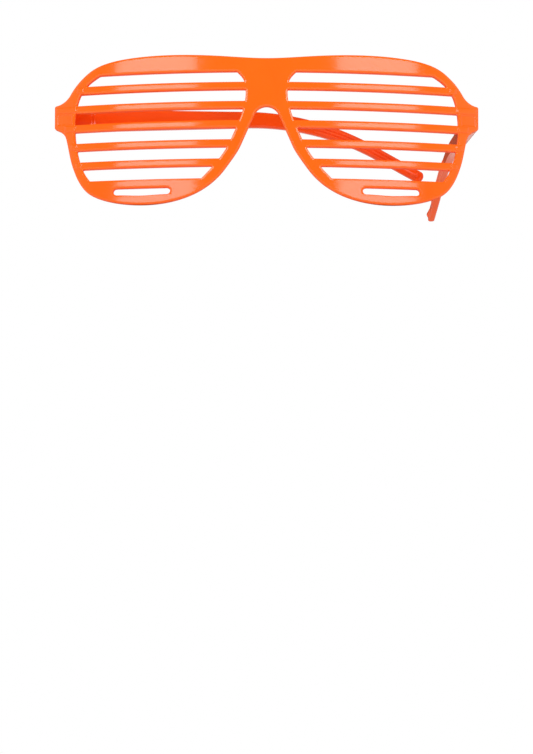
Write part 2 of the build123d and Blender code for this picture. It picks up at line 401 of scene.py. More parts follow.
def placed_normals(flat: Array, normals: Array, place: Placement) -> Array:
    """Carries normals through a placement.

    Args:
        flat: Points before the placement.
        normals: Normals at those points.
        place: The placement.

    Returns:
        Unit normals after the placement.
    """
    u, v, w = (
        (place(flat + NUDGE * axis) - place(flat - NUDGE * axis)) / (2 * NUDGE)
        for axis in np.eye(3)
    )
    crossed = (
        normals[:, :1] * np.cross(v, w)
        + normals[:, 1:2] * np.cross(w, u)
        + normals[:, 2:] * np.cross(u, v)
    )
    crossed *= np.sign(np.sum(u * np.cross(v, w), axis=1))[:, None]
    return crossed / np.linalg.norm(crossed, axis=1)[:, None]


@dataclass
class Pocket:
    """A shallow sunk panel in the front of a slab."""

    loop: Array
    depth: float
    blend: float


@dataclass(frozen=True)
class EdgeShape:
    """How the front edge of a moulding is broken: a slight bevel that runs into a round.

    The shading normals of the bevel lean further where the edge of a hole faces the middle of the
    moulding.
    """

    radius: float
    bevel: float = 0.0
    bevel_deg: float = 0.0
    inward_deg: float = 0.0
    blend_share: float = 0.08

    def rings(self, steps: int) -> list[tuple[float, float, float]]:
        """Lays out the edge from the face outward.

        Args:
            steps: Spans in the round.

        Returns:
            Inset, depth and tilt of the shading normal of each ring of corners.
        """
        tilt = math.radians(self.bevel_deg)
        inner = self.radius * (1 - math.sin(tilt))
        sunk = self.bevel * math.tan(tilt)
        found = []
        if self.bevel:
            blend = self.bevel * self.blend_share
            found.append((inner + self.bevel, 0.0, 0.0))
            found.append((inner + self.bevel - blend, blend * math.tan(tilt) / 2, tilt))
        for angle in np.linspace(tilt, math.pi / 2, steps + 1):
            inset = self.radius * (1 - math.sin(angle))
            depth = sunk + self.radius * (math.cos(tilt) - math.cos(angle))
            found.append((inset, depth, float(angle)))
        return found


@dataclass
class Shell:
    """The corners and faces of a slab while it is being made."""

    points: list[Array] = field(default_factory=list)
    normals: list[Array] = field(default_factory=list)
    walls: list[Array] = field(default_factory=list)
    faces: list[list[int]] = field(default_factory=list)
    total: int = 0

    def add(self, flat: Array, depth: float, normals: Array, wall: bool) -> int:
        """Adds corners that share one depth.

        Args:
            flat: Their places in u and v.
            depth: Their depth.
            normals: Their shading normals.
            wall: Whether the mould left them satin.

        Returns:
            The number of the first of them.
        """
        first = self.total
        self.points.append(np.column_stack([flat, np.full(len(flat), depth)]))
        self.normals.append(normals)
        self.walls.append(np.full(len(flat), float(wall)))
        self.total += len(flat)
        return first

    def ring(
        self, loop: Array, depth: float, side: Array, tilt: float, lean: Array | float = 0.0
    ) -> int:
        """Adds a ring of corners.

        Args:
            loop: Their places in u and v.
            depth: Their depth.
            side: Where their normals tilt to, in u and v.
            tilt: How far the normals tilt from the front, in radians.
            lean: What is added to the tilt, for all or in one column.

        Returns:
            The number of the first of them.
        """
        turned = np.full((len(loop), 1), tilt) + lean
        normals = np.column_stack([side * np.sin(turned), -np.cos(turned)])
        return self.add(loop, depth, normals, tilt > WALL_TILT)

    def skin(self, firsts: Sequence[int], count: int) -> None:
        """Joins rings of corners by quads, each ring to the next.

        Args:
            firsts: Number of each ring's first corner.
            count: Corners in a ring.
        """
        for first, second in zip(firsts, firsts[1:]):
            for k in range(count):
                n = (k + 1) % count
                self.faces.append([first + k, second + k, second + n, first + n])


@dataclass
class Slab:
    """A flat moulding with holes and rounded edges, before it is placed in space.

    It lies in u and v, and its depth runs from 0 at the front to the thickness at the back.
    """

    outline: Array
    thickness: float
    front: EdgeShape
    back_round: float
    holes: list[Array] = field(default_factory=list)
    pockets: list[Pocket] = field(default_factory=list)
    grid: float = 2.0
    clear_share: float = 0.6
    round_steps: int = 6

    def profile(self) -> list[tuple[float, float, float]]:
        """Lays out the whole edge, front to back.

        Returns:
            Inset, depth and tilt of the shading normal of each ring of corners.
        """
        rings = self.front.rings(self.round_steps)
        for angle in np.linspace(math.pi / 2, math.pi, self.round_steps + 1):
            inset = self.back_round * (1 - math.sin(angle))
            depth = self.thickness - self.back_round * (1 + math.cos(angle))
            rings.append((inset, depth, float(angle)))
        return rings

    def lean(self, loop: Array, side: Array) -> Array:
        """Returns how much further the bevel's shading normal leans at each point of a hole, in one
        column.
        """
        facing = np.clip(-np.sign(loop[:, :1]) * side[:, :1], 0, 1)
        return math.radians(self.front.inward_deg) * facing

    def cap(
        self, loops: list[Array], shifts: list[int], spare: int
    ) -> tuple[Array, list[list[int]]]:
        """Fills the area between loops with triangles of about the grid's size.

        Args:
            loops: The outer loop first, then the holes.
            shifts: Number of each loop's first corner in the mesh.
            spare: Number that the first new corner will get.

        Returns:
            The new corners inside the area, and the triangles by corner number.
        """
        flat = np.concatenate(loops)
        numbers = np.concatenate([np.arange(len(p)) + s for p, s in zip(loops, shifts)])
        low, high = flat.min(axis=0), flat.max(axis=0)
        columns = np.arange(low[0], high[0], self.grid)
        # The first row lies a third of the grid up, clear of the level lower edges.
        rows = np.arange(low[1] + self.grid / 3, high[1], self.grid)
        lattice = np.array([(u, v) for u in columns for v in rows]).reshape(-1, 2)
        lattice = lattice[inside(lattice, loops)]
        reach = np.abs(lattice[:, None] - flat[None]).sum(axis=2).min(axis=1)
        inner = lattice[reach > self.grid * self.clear_share]
        edges = []
        start = 0
        for loop in loops:
            edges += [(start + k, start + (k + 1) % len(loop)) for k in range(len(loop))]
            start += len(loop)
        coords = [Vector(p) for p in np.concatenate([flat, inner])]
        out, _, faces, sources, _, _ = delaunay_2d_cdt(
            coords, edges, [], 0, MERGE_DISTANCE, True
        )
        where = np.array([tuple(corner) for corner in out])
        kept = inside(where[np.array(faces)].mean(axis=1), loops)
        faces = [face for face, keep in zip(faces, kept) if keep]
        number: dict[int, int] = {}
        extra = []
        for corner in sorted({corner for face in faces for corner in face}):
            known = [source for source in sources[corner] if source < len(flat)]
            if known:
                number[corner] = int(numbers[known[0]])
            else:
                number[corner] = spare + len(extra)
                extra.append(out[corner])
        return np.array(extra).reshape(-1, 2), [[number[c] for c in face] for face in faces]

    def build(self, name: str, place: Placement) -> bpy.types.Object:
        """Makes the slab's object.

        Args:
            name: The object's name.
            place: Turns rows of (u, v, depth) into rows of (x, y, z), in millimetres.

        Returns:
            The new object.
        """
        shell = Shell()
        profile = self.profile()
        # Only the rings of the bevel itself lean further, not those of the round.
        bevelled = math.radians(self.front.bevel_deg + 1)
        fronts: list[tuple[Array, int]] = []
        backs: list[tuple[Array, int]] = []
        for loop, sense in [(self.outline, 1)] + [(hole, -1) for hole in self.holes]:
            side = outward(loop) * sense
            lean = self.lean(loop, side) if sense < 0 else 0.0
            rings = [(loop - side * inset, depth, tilt) for inset, depth, tilt in profile]
            firsts = [
                shell.ring(ring, depth, side, tilt, lean if 0 < tilt < bevelled else 0.0)
                for ring, depth, tilt in rings
            ]
            shell.skin(firsts, len(loop))
            fronts.append((rings[0][0], firsts[0]))
            backs.append((rings[-1][0], firsts[-1]))
        caps = [(fronts, 0.0, False), (backs, self.thickness, True)]
        for pocket in self.pockets:
            side = outward(pocket.loop)
            slope = -math.atan(STEP_STEEPNESS * pocket.depth / pocket.blend)
            rings = [
                (pocket.loop - side * pocket.blend * share, pocket.depth * share, tilt)
                for share, tilt in ((0.0, 0.0), (0.5, slope), (1.0, 0.0))
            ]
            firsts = [shell.ring(ring, depth, side, tilt) for ring, depth, tilt in rings]
            shell.skin(firsts, len(pocket.loop))
            fronts.append((pocket.loop, firsts[0]))
            caps.append(([(rings[-1][0], firsts[-1])], pocket.depth, False))
        for loops, depth, back in caps:
            extra, faces = self.cap([p for p, _ in loops], [s for _, s in loops], shell.total)
            facing = np.tile([0.0, 0.0, 1.0 if back else -1.0], (len(extra), 1))
            shell.add(extra, depth, facing, back)
            shell.faces += faces
        flat = np.concatenate(shell.points)
        normals = placed_normals(flat, np.concatenate(shell.normals), place)
        return mesh_object(name, place(flat), shell.faces, normals, np.concatenate(shell.walls))


class Group:
    """A short way to write a node tree: makes nodes and links them."""

    def __init__(self, tree: bpy.types.NodeTree) -> None:
        """Takes the tree to write."""
        self.tree = tree
        self.place: bpy.types.NodeSocket | None = None

    @classmethod
    def named(cls, name: str, kind: str, inputs: dict, outputs: dict[str, str]) -> "Group":
        """Makes a new node group with its sockets.

        Args:
            name: The group's name.
            kind: The tree's type.
            inputs: Default of each input, or the word for its type where it has none.
            outputs: The word for the type of each output.

        Returns:
            The group, ready for nodes.
        """
        words = {float: "Float", int: "Int", tuple: "Vector"}
        tree = bpy.data.node_groups.new(name, kind)
        for way, sockets in (("INPUT", inputs), ("OUTPUT", outputs)):
            for label, given in sockets.items():
                word = given if isinstance(given, str) else words[type(given)]
                made = tree.interface.new_socket(
                    label, in_out=way, socket_type=f"NodeSocket{word}"
                )
                if word is not given:
                    made.default_value = given
        return cls(tree)

    def node(self, kind: str, links: dict | None = None, **settings) -> bpy.types.Node:
        """Adds a node.

        Args:
            kind: The node's type.
            links: Input by name or number, to a value or to another node's output.
            **settings: Properties of the node.

        Returns:
            The node.
        """
        made = self.tree.nodes.new(kind)
        for name, value in settings.items():
            setattr(made, name, value)
        for key, value in (links or {}).items():
            if isinstance(value, bpy.types.NodeSocket):
                self.tree.links.new(value, made.inputs[key])
            else:
                made.inputs[key].default_value = value
        return made

    def out(self, kind: str, links: dict | None = None, **settings) -> bpy.types.NodeSocket:
        """Adds a node and returns its first output."""
        return self.node(kind, links, **settings).outputs[0]

    def math(self, operation: str, *values: float | bpy.types.NodeSocket) -> bpy.types.NodeSocket:
        """Adds a Math node and returns its output."""
        return self.out("ShaderNodeMath", dict(enumerate(values)), operation=operation)

    def noise(self, scale: float | bpy.types.NodeSocket, **settings) -> bpy.types.NodeSocket:
        """Adds noise on the piece's own coordinates.

        Args:
            scale: Its scale.
            **settings: Its other inputs by name.

        Returns:
            Its value.
        """
        if self.place is None:
            self.place = self.node("ShaderNodeTexCoord").outputs["Object"]
        return self.out("ShaderNodeTexNoise", {"Vector": self.place, "Scale": scale, **settings})


def fine_curve(g: Group, given: bpy.types.bpy_prop_collection) -> bpy.types.NodeSocket:
    """Adds the start of a geometry group, which turns the given edges into fine curves."""
    curve = g.out("GeometryNodeMeshToCurve", {"Mesh": given["Geometry"]})
    return g.out("GeometryNodeResampleCurve", {"Curve": curve, "Count": given["Points"]})


def finish_tree(g: Group, swept: bpy.types.NodeSocket, material: bpy.types.NodeSocket) -> None:
    """Adds the end of a geometry group: smooth shading, real geometry and its material.

    Args:
        g: The group.
        swept: The geometry made.
        material: Its material.
    """
    smooth = g.out("GeometryNodeSetShadeSmooth", {"Geometry": swept})
    real = g.out("GeometryNodeRealizeInstances", {"Geometry": smooth})
    dressed = g.out("GeometryNodeSetMaterial", {"Geometry": real, "Material": material})
    g.node("NodeGroupOutput", {0: dressed})


def slat_band_tree() -> bpy.types.NodeTree:
    """Makes the node group that sweeps a rounded bar along each slat's line, bent to the face.

    Returns:
        A group whose input mesh has one line of edges for each band.
    """
    g = Group.named(
        "slat_bands",
        "GeometryNodeTree",
        {
            "Geometry": "Geometry", "Material": "Material", "Points": 48,
            "Face radius": 0.19, "Face centre": 0.1885, "Band height": 0.0023,
            "Band depth": 0.0012, "Corner": 0.0005, "Corner spans": 4,
        },
        {"Geometry": "Geometry"},
    )
    given = g.node("NodeGroupInput").outputs
    fine = fine_curve(g, given)
    place = g.node("ShaderNodeSeparateXYZ", {0: g.out("GeometryNodeInputPosition")}).outputs
    squares = g.math(
        "SUBTRACT",
        g.math("MULTIPLY", given["Face radius"], given["Face radius"]),
        g.math("MULTIPLY", place[0], place[0]),
    )
    bent = g.math("SUBTRACT", given["Face centre"], g.math("SQRT", squares))
    spot = g.out(
        "ShaderNodeCombineXYZ", {0: place[0], 1: g.math("ADD", bent, place[1]), 2: place[2]}
    )
    moved = g.out("GeometryNodeSetPosition", {"Geometry": fine, "Position": spot})
    level = g.out("GeometryNodeSetCurveNormal", {"Curve": moved}, mode="Z_UP")
    bar = g.out(
        "GeometryNodeCurvePrimitiveQuadrilateral",
        {"Width": given["Band depth"], "Height": given["Band height"]},
    )
    soft = g.out(
        "GeometryNodeFilletCurve",
        {"Curve": bar, "Radius": given["Corner"], "Count": given["Corner spans"]},
        mode="POLY",
    )
    swept = g.out(
        "GeometryNodeCurveToMesh", {"Curve": level, "Profile Curve": soft, "Fill Caps": True}
    )
    finish_tree(g, swept, given["Material"])
    return g.tree


def grip_rib_tree() -> bpy.types.NodeTree:
    """Makes the node group that lays ribs side by side along the line of a hook.

    Returns:
        A group whose input mesh is the middle line of the hook's inner face.
    """
    g = Group.named(
        "grip_ribs",
        "GeometryNodeTree",
        {
            "Geometry": "Geometry", "Material": "Material", "Points": 64, "Count": 3,
            "Pitch": 0.00115, "Half height": 0.0006, "Half depth": 0.0003, "Sides": 20,
            "Fade": 0.08, "Outward": (0.0, 0.0, 1.0),
        },
        {"Geometry": "Geometry"},
    )
    given = g.node("NodeGroupInput").outputs
    copies = g.node(
        "GeometryNodeDuplicateElements",
        {"Geometry": fine_curve(g, given), "Amount": given["Count"]},
        domain="SPLINE",
    ).outputs
    middle = g.math("MULTIPLY", g.math("SUBTRACT", given["Count"], 1.0), 0.5)
    share = g.math("SUBTRACT", copies["Duplicate Index"], middle)
    across = g.out(
        "ShaderNodeVectorMath",
        {0: g.out("GeometryNodeInputTangent"), 1: given["Outward"]},
        operation="CROSS_PRODUCT",
    )
    shift = g.out(
        "ShaderNodeVectorMath",
        {0: across, "Scale": g.math("MULTIPLY", share, given["Pitch"])},
        operation="SCALE",
    )
    moved = g.out("GeometryNodeSetPosition", {"Geometry": copies[0], "Offset": shift})
    factor = g.node("GeometryNodeSplineParameter").outputs["Factor"]
    from_end = g.math("MINIMUM", factor, g.math("SUBTRACT", 1.0, factor))
    swell = g.math("SQRT", g.math("MINIMUM", 1.0, g.math("DIVIDE", from_end, given["Fade"])))
    level = g.out("GeometryNodeSetCurveNormal", {"Curve": moved}, mode="Z_UP")
    ring = g.out("GeometryNodeCurvePrimitiveCircle", {"Resolution": given["Sides"], "Radius": 1.0})
    size = g.out(
        "ShaderNodeCombineXYZ", {0: given["Half depth"], 1: given["Half height"], 2: 1.0}
    )
    oval = g.out("GeometryNodeTransform", {"Geometry": ring, "Scale": size})
    swept = g.out(
        "GeometryNodeCurveToMesh",
        {"Curve": level, "Profile Curve": oval, "Scale": swell, "Fill Caps": True},
    )
    finish_tree(g, swept, given["Material"])
    return g.tree


def grown(
    name: str, lines: list[Array], tree: bpy.types.NodeTree, inputs: dict
) -> bpy.types.Object:
    """Runs a geometry group on lines of points and keeps its result as a plain mesh.

    Args:
        name: The object's name.
        lines: Lines of points in millimetres.
        tree: The node group.
        inputs: Value of each named input that differs from the group's own.

    Returns:
        The new object, with no modifier left on it.
    """
    edges = []
    start = 0
    for points in lines:
        edges += [(start + k, start + k + 1) for k in range(len(points) - 1)]
        start += len(points)
    mesh = bpy.data.meshes.new(name)
    mesh.from_pydata((np.concatenate(lines) * MM).tolist(), edges, [])
    made = linked(name, mesh)
    modifier = made.modifiers.new(tree.name, "NODES")
    modifier.node_group = tree
    for item in tree.interface.items_tree:
        if item.in_out == "INPUT" and item.name in inputs:
            modifier[item.identifier] = inputs[item.name]
    made.update_tag()
    shown = made.evaluated_get(bpy.context.evaluated_depsgraph_get())
    real = bpy.data.meshes.new_from_object(shown)
    made.modifiers.clear()
    made.data = real
    real.name = name
    return made


def tone_group() -> bpy.types.ShaderNodeTree:
    """Makes the shader group that mixes a moulding's two tones by slow flow marks.

    Returns:
        The group.
    """
    g = Group.named(
        "moulding_tone",
        "ShaderNodeTree",
        {"Colour": "Color", "Deep colour": "Color", "Scale": 60.0, "Low": 0.3, "High": 0.7},
        {"Colour": "Color"},
    )
    given = g.node("NodeGroupInput").outputs
    flow = g.noise(given["Scale"], Detail=3.0, Distortion=0.8)
    limits = {"From Min": given["Low"], "From Max": given["High"]}
    share = g.out("ShaderNodeMapRange", {"Value": flow, **limits})
    mix = g.node(
        "ShaderNodeMix", {0: share, 6: given["Colour"], 7: given["Deep colour"]}, data_type="RGBA"
    )
    g.node("NodeGroupOutput", {0: mix.outputs[2]})
    return g.tree


def gloss_group() -> bpy.types.ShaderNodeTree:
    """Makes the shader group for a mould's surface: smudges in the gloss and a faint ripple.

    Returns:
        The group.
    """
    g = Group.named(
        "moulding_gloss",
        "ShaderNodeTree",
        {
            "Roughness": 0.15, "Spread": 0.05, "Smudge scale": 240.0, "Smudge share": 0.8,
            "Grain scale": 2600.0, "Grain share": 0.2, "Ripple scale": 100.0,
            "Ripple height": 0.00001, "Peel scale": 1500.0, "Peel share": 0.03,
        },
        {"Roughness": "Float", "Normal": "Vector"},
    )
    given = g.node("NodeGroupInput").outputs
    smudge = g.noise(given["Smudge scale"], Detail=4.0, Roughness=0.6)
    grain = g.noise(given["Grain scale"], Detail=1.0)
    mixed = g.math(
        "ADD",
        g.math("MULTIPLY", smudge, given["Smudge share"]),
        g.math("MULTIPLY", grain, given["Grain share"]),
    )
    centred = g.math("MULTIPLY", g.math("SUBTRACT", mixed, 0.5), 2.0)
    rough = g.math("ADD", given["Roughness"], g.math("MULTIPLY", centred, given["Spread"]))
    ripple = g.noise(given["Ripple scale"], Detail=1.0, Roughness=0.4)
    peel = g.noise(given["Peel scale"], Detail=1.0)
    relief = g.math("ADD", ripple, g.math("MULTIPLY", peel, given["Peel share"]))
    height = g.math("MULTIPLY", relief, given["Ripple height"])
    bump = g.out("ShaderNodeBump", {"Strength": 1.0, "Distance": 1.0, "Height": height})
    g.node("NodeGroupOutput", {0: rough, 1: bump})
    return g.tree


class Materials:
    """All the materials of the pieces, each made once."""

    def __init__(self) -> None:
        """Makes the two shader groups and then each material."""
        self.tone = tone_group()
        self.gloss = gloss_group()
        self.front = self.plastic(FRONT_PLASTIC)
        self.front_satin = self.plastic(FRONT_SATIN)
        # The temple, temple satin and grip materials carry painted shade in their colours.
        self.temple = self.plastic(TEMPLE_SHADED_PLASTIC)
        self.temple_shaded_satin = self.plastic(TEMPLE_SHADED_SATIN)
        self.grip = self.plastic(GRIP_SHADED_PLASTIC)
        self.steel = self.wire(PIN_STEEL)

    @staticmethod
    def blank(name: str) -> tuple[bpy.types.Material, Group]:
        """Makes a material with an empty tree.

        Args:
            name: The material's name.

        Returns:
            The material, and its tree ready for nodes.
        """
        made = bpy.data.materials.new(name)
        made.use_nodes = True
        made.node_tree.nodes.clear()
        return made, Group(made.node_tree)

    def plastic(self, finish: PlasticFinish) -> bpy.types.Material:
        """Makes a moulded plastic.

        Args:
            finish: Its colours and gloss.

        Returns:
            The material.
        """
        made, g = self.blank(finish.name)
        tone = g.out(
            "ShaderNodeGroup",
            {"Colour": (*finish.colour, 1), "Deep colour": (*finish.deep_colour, 1)},
            node_tree=self.tone,
        )
        gloss = g.node(
            "ShaderNodeGroup",
            {
                "Roughness": finish.roughness,
                "Spread": finish.roughness_spread,
                "Ripple scale": 1 / (finish.ripple_size * MM),
                "Ripple height": finish.ripple_height * MM,
            },
            node_tree=self.gloss,
        ).outputs
        shader = g.out(
            "ShaderNodeBsdfPrincipled",
            {
                "Base Color": tone,
                "Roughness": gloss["Roughness"],
                "Normal": gloss["Normal"],
                "Specular IOR Level": finish.specular,
                "IOR": finish.ior,
            },
        )
        g.node("ShaderNodeOutputMaterial", {0: shader})
        return made

    def wire(self, finish: SteelFinish) -> bpy.types.Material:
        """Makes drawn steel, streaked along Z.

        Args:
            finish: Its colour and streaks.

        Returns:
            The material.
        """
        made, g = self.blank(finish.name)
        place = g.node("ShaderNodeTexCoord").outputs["Object"]
        along_z = (1.0, 1.0, finish.streak_stretch)
        stretch = g.out("ShaderNodeMapping", {"Vector": place, "Scale": along_z})
        streak = g.out("ShaderNodeTexNoise", {"Vector": stretch, "Scale": finish.streak_scale})
        spread = g.math("MULTIPLY", g.math("SUBTRACT", streak, 0.5), finish.roughness_spread * 2)
        shader = g.out(
            "ShaderNodeBsdfPrincipled",
            {
                "Base Color": (*finish.colour, 1),
                "Metallic": 1.0,
                "Roughness": g.math("ADD", spread, finish.roughness),
            },
        )
        g.node("ShaderNodeOutputMaterial", {0: shader})
        return made


def dress(
    piece: bpy.types.Object,
    polished: bpy.types.Material,
    satin: bpy.types.Material,
    body: str,
) -> None:
    """Gives a piece its materials and its body.

    Args:
        piece: The piece, which keeps its own material if it has one.
        polished: Material of its front and its edges.
        satin: Material of its walls and its back.
        body: The body that it rides on.
    """
    mesh = piece.data
    if not mesh.materials:
        mesh.materials.append(polished)
        mask = mesh.attributes.get(WALL_MASK)
        if mask:
            mesh.materials.append(satin)
            for face in mesh.polygons:
                on_wall = all(mask.data[corner].value for corner in face.vertices)
                face.material_index = int(on_wall)
    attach(piece, body)


@dataclass
class Hinge:
    """The pin hinge behind each end piece."""

    pin_x: float = 69.2
    pin_y: float = 17.1
    middle_z: float = -1.75
    height: float = 8.0
    pin_radius: float = 0.7
    bore_play: float = 0.02
    tongue_play: float = 0.05
    bore_sides: int = 24
    radius: float = 2.0
    web: float = 3.9
    tongue_height: float = 3.2
    gap: float = 0.1
    edge: float = 0.15
    step: float = 0.4

    @property
    def lug_height(self) -> float:
        """Height of one lug."""
        return (self.height - self.tongue_height) / 2 - self.gap

    def bore(self, play: float) -> Array:
        """Draws a pin hole about the origin.

        Args:
            play: How much wider than the pin it is, all round.

        Returns:
            The hole's loop.
        """
        turn = np.linspace(0, math.tau, self.bore_sides + 1)[:-1]
        r = self.pin_radius + play
        return np.column_stack([r * np.cos(turn), r * np.sin(turn)])

    def knuckle(self, runs: list[Array], height: float, play: float) -> Slab:
        """Makes the slab of a lug or a tongue.

        Args:
            runs: The runs of its outline about the pin.
            height: Its height.
            play: Play of the pin in its bore.

        Returns:
            The slab, lying flat.
        """
        loop = closed_loop(runs, 0.0, step=self.step)
        edge = EdgeShape(self.edge)
        return Slab(loop, height, edge, self.edge, [self.bore(play)], grid=FINE_GRID)

    def behind_end(self, flat: Array, sign: int, top: float) -> Array:
        """Stands a lug behind the end piece of one side, its front face up at a height."""
        x, y = sign * self.pin_x + flat[:, 0], self.pin_y + flat[:, 1]
        return np.column_stack([x, y, top - flat[:, 2]])

    def lugs(self) -> list[bpy.types.Object]:
        """Makes the four lugs, above and below each tongue.

        Returns:
            Their objects.
        """
        r, back = self.radius, -self.web
        runs = [
            arc_path((r, 0), (0, r), (-r, 0)),
            line((-r, 0), (-r, back)),
            line((-r, back), (r, back)),
            line((r, back), (r, 0)),
        ]
        slab = self.knuckle(runs, self.lug_height, self.bore_play)
        upper = self.middle_z + self.height / 2
        lower = self.middle_z - self.height / 2 + self.lug_height
        return [
            slab.build(
                f"front_lug_{side.word}_{word}",
                partial(self.behind_end, sign=side.value, top=top),
            )
            for side in Side
            for word, top in (("upper", upper), ("lower", lower))
        ]

    @staticmethod
    def pins(steel: bpy.types.Material) -> list[bpy.types.Object]:
        """Dresses the two pins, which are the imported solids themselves.

        Args:
            steel: Their material.

        Returns:
            Their objects.
        """
        found = [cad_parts[f"{side.word}_hinge_pin"] for side in Side]
        for pin in found:
            pin.data.materials.clear()
            pin.data.materials.append(steel)
        return found


@dataclass
class FrontFrame:
    """The curved front moulding: plate, slat bands, nose pads and hinge lugs."""

    half_width: float = 74.0
    brow_height: float = 18.08
    rim_drop: float = 33.28
    face_radius: float = 190.0
    thickness: float = 3.0
    edge: EdgeShape = EdgeShape(radius=0.3, bevel=0.45, bevel_deg=13.0, inward_deg=8.0)
    back_round: float = 0.25
    corner: float = 0.35
    brow_corner: float = 2.0
    end_corner: float = 0.7
    end_top: float = 2.2
    end_bottom: float = -5.6
    shoulder_step: float = 0.05
    nose_radius: float = 4.6
    nose_slope_deg: float = 24.0
    nose_flank: float = 11.4
    slat_count: int = 5
    slat_height: float = 2.6
    slat_pitch: float = 6.57
    first_slat_top: float = 8.41
    top_gap: float = 3.63
    bottom_gap: float = 4.15
    slat_end_steps: int = 9
    slot_top_drop: float = 2.91
    slot_depth: float = 2.62
    slot_length: float = 19.9
    slot_middle_share: float = 0.581
    slot_end_share: float = 0.44
    slot_step: float = 0.6
    band_height: float = 2.3
    band_proud: float = 0.22
    band_depth: float = 1.2
    band_corner: float = 0.5
    band_lead: float = 0.4
    band_steps: int = 60
    panel_depth: float = 0.32
    panel_blend: float = 0.45
    panel_inner: float = 67.65
    panel_outer: float = 73.1
    stop_y: float = 16.4
    stop_x: float = 71.2
    hinge: Hinge = field(default_factory=Hinge)
    pad_width: float = 2.0
    pad_length: float = 10.0
    pad_depth: float = 4.0
    pad_flare: float = 1.4
    pad_aside: float = 0.4
    pad_root_edge: EdgeShape = EdgeShape(radius=0.1)
    pad_round: float = 0.6
    pad_step: float = 0.5

    brow_shares = (
        (0, 0.9154), (0.216, 0.9635), (0.4426, 1), (0.6318, 0.968), (0.727, 0.9115),
        (0.7757, 0.8556), (0.8243, 0.7572), (0.8605, 0.6394), (0.8872, 0.5304),
        (0.9086, 0.4198), (0.923, 0.329),
    )
    upper_shoulder_shares = ((0.923, 0.329), (0.947, 0.212), (0.981, 0.138))
    lower_shoulder_shares = ((0.986, -0.185), (0.958, -0.2245), (0.9432, -0.2855))
    rim_shares = (
        (0.9432, -0.2855), (0.9189, -0.5282), (0.8991, -0.6569), (0.8442, -0.8465),
        (0.7757, -0.9294), (0.6797, -0.9814), (0.5743, -1), (0.4865, -0.9885),
        (0.3915, -0.943), (0.2988, -0.8525), (0.2065, -0.6805), (0.1685, -0.5685),
    )
    temple_side_shares = (
        (0.827, 0), (0.8562, 0.0847), (0.8788, 0.2014), (0.8953, 0.3583), (0.9014, 0.5347),
        (0.8919, 0.7112), (0.8722, 0.83), (0.827, 0.9387), (0.7804, 1),
    )
    nose_side_shares = (
        (0.1365, 1), (0.1065, 0.9292), (0.0972, 0.84), (0.0985, 0.745), (0.1176, 0.5934),
        (0.1442, 0.4596), (0.1935, 0.2579), (0.2585, 0.0915), (0.302, 0),
    )

    @property
    def centre_y(self) -> float:
        """Where the face's cylinder has its axis."""
        return self.face_radius - self.thickness / 2

    @property
    def window_top(self) -> float:
        """Height of the brow's lower edge."""
        return self.first_slat_top + self.top_gap

    @property
    def window_bottom(self) -> float:
        """Height of the crescent's upper edge."""
        last_bottom = self.slat_top(self.slat_count - 1) - self.slat_height
        return last_bottom - self.bottom_gap

    @property
    def flank_down(self) -> Array:
        """Direction down the left flank of the nose arch."""
        slope = math.radians(self.nose_slope_deg)
        return np.array([math.sin(slope), -math.cos(slope)])

    @property
    def flank_out(self) -> Array:
        """Direction square to that flank, out of the arch."""
        slope = math.radians(self.nose_slope_deg)
        return np.array([math.cos(slope), math.sin(slope)])

    def on_arch(self, degrees: float) -> Array:
        """Returns a point of the nose arch, so far round from its saddle."""
        turn = math.radians(degrees)
        return self.nose_radius * np.array([math.sin(turn), math.cos(turn) - 1])

    def slat_top(self, number: int) -> float:
        """Returns the height of a slat's upper edge, the slats counted from 0."""
        return self.first_slat_top - number * self.slat_pitch

    def on_face(self, flat: Array) -> Array:
        """Bends the plate onto the face, its back cut flat where a temple stops.

        Args:
            flat: Rows of (u, v, depth).

        Returns:
            Rows of (x, y, z).
        """
        x = flat[:, 0]
        front = self.centre_y - np.sqrt(self.face_radius**2 - x**2)
        back = self.centre_y - np.sqrt((self.face_radius - self.thickness) ** 2 - x**2)
        back = np.where(np.abs(x) > self.stop_x, np.minimum(back, self.stop_y), back)
        y = front + (back - front) * flat[:, 2] / self.thickness
        return np.column_stack([x, y, flat[:, 1]])

    def scaled(self, shares: Shares) -> list[tuple[float, float]]:
        """Turns shares of the half width, and of the brow's or the rims' reach, into points.

        Args:
            shares: The shares, above the saddle or below it.

        Returns:
            The points.
        """
        return [
            (x * self.half_width, z * (self.brow_height if z > 0 else self.rim_drop))
            for x, z in shares
        ]

    def window_side(self, shares: Shares) -> Array:
        """Returns one side of a lens window as a smooth line."""
        low, height = self.window_bottom, self.window_top - self.window_bottom
        return smooth_path([(x * self.half_width, low + z * height) for x, z in shares])

    def outline(self) -> Array:
        """Draws the outer edge of the whole front.

        Returns:
            Its loop.
        """
        arch_end = self.on_arch(90 - self.nose_slope_deg)
        flank_end = arch_end + self.nose_flank * self.flank_down
        upper = arc_path(*self.scaled(self.upper_shoulder_shares), step=self.shoulder_step)
        lower = arc_path(*self.scaled(self.lower_shoulder_shares), step=self.shoulder_step)
        rim_points = [*self.scaled(self.rim_shares), flank_end]
        top, bottom = (self.half_width, self.end_top), (self.half_width, self.end_bottom)
        half = [
            smooth_path(self.scaled(self.brow_shares), (1, 0), upper[1] - upper[0]),
            upper,
            line(upper[-1], top),
            line(top, bottom),
            line(bottom, lower[0]),
            lower,
            smooth_path(rim_points, lower[-1] - lower[-2], -self.flank_down),
            line(flank_end, arch_end),
            arc_path(arch_end, self.on_arch(45), (0, 0)),
        ]
        other_half = [run[::-1] * (-1, 1) for run in reversed(half)]
        return closed_loop(half + other_half, self.end_corner)

